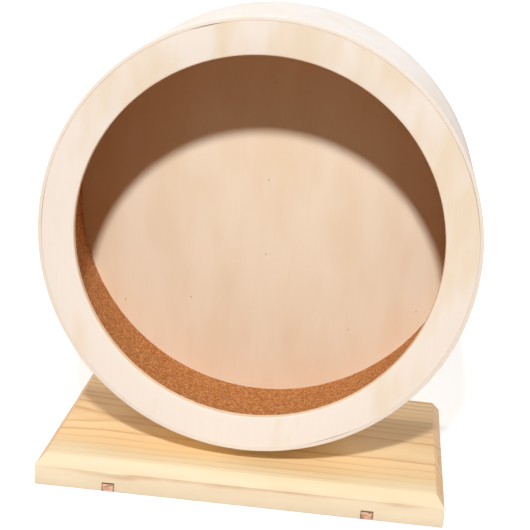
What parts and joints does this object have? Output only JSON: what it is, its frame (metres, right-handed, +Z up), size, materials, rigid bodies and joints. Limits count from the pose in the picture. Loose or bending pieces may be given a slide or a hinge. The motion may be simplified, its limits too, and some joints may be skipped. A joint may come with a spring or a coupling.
{
  "type": "wooden hamster wheel",
  "caption": "Upright exercise wheel for a small pet: a cork-lined plywood drum, open in front, turns on a bearing in a stand on a bevelled pine base.",
  "frame": {"origin": "on the floor, under the middle of the base board's footprint", "axes": "+X to the right seen from the front, +Y to the back along the drum's axle, +Z up"},
  "size_m": [0.3, 0.183, 0.332],
  "materials": {
    "ring_plywood": "sanded, unfinished poplar plywood",
    "band_plywood": "sanded, unfinished bent plywood",
    "disc_plywood": "sanded, unfinished poplar plywood",
    "hub_plywood": "sanded, unfinished plywood",
    "cork": "fine-grained pressed cork sheet, matt",
    "base_pine": "planed solid pine, matt clear oil",
    "upright_pine": "planed solid pine, matt clear oil",
    "batten_wood": "sawn reddish hardwood end grain",
    "zinc_plated_steel": "bright zinc plate",
    "bearing_steel": "ground and polished steel",
    "cage_steel": "pressed steel"
  },
  "bodies": {
    "stand": {"base_board": "base_pine", "left_batten": "batten_wood", "right_batten": "batten_wood", "upright": "upright_pine", "upright_screws": "zinc_plated_steel", "bearing_outer_race": "bearing_steel"},
    "wheel": {"front_ring": "ring_plywood", "drum_band": "band_plywood", "cork_lining": "cork", "back_disc": "disc_plywood", "hub_block": "hub_plywood", "hub_screws": "zinc_plated_steel", "axle_bolt": "zinc_plated_steel", "hub_washer": "zinc_plated_steel", "hub_nut": "zinc_plated_steel", "axle_sleeve": "zinc_plated_steel", "lock_nut": "zinc_plated_steel", "bearing_inner_race": "bearing_steel"},
    "ball_cage": {"bearing_cage": "cage_steel", "bearing_balls": "bearing_steel"}
  },
  "joints": [
    {"name": "wheel_spin", "type": "hinge", "parent": "stand", "child": "wheel", "pos_m": [0, 0.0701, 0.182], "axis": [0, 1, 0], "continuous": true},
    {"name": "ball_cage_spin", "type": "hinge", "parent": "stand", "child": "ball_cage", "pos_m": [0, 0.0646, 0.182], "axis": [0, 1, 0], "continuous": true}
  ],
  "couplings": [
    {"joint": "ball_cage_spin", "follows": "wheel_spin", "ratio": 0.36767}
  ]
}
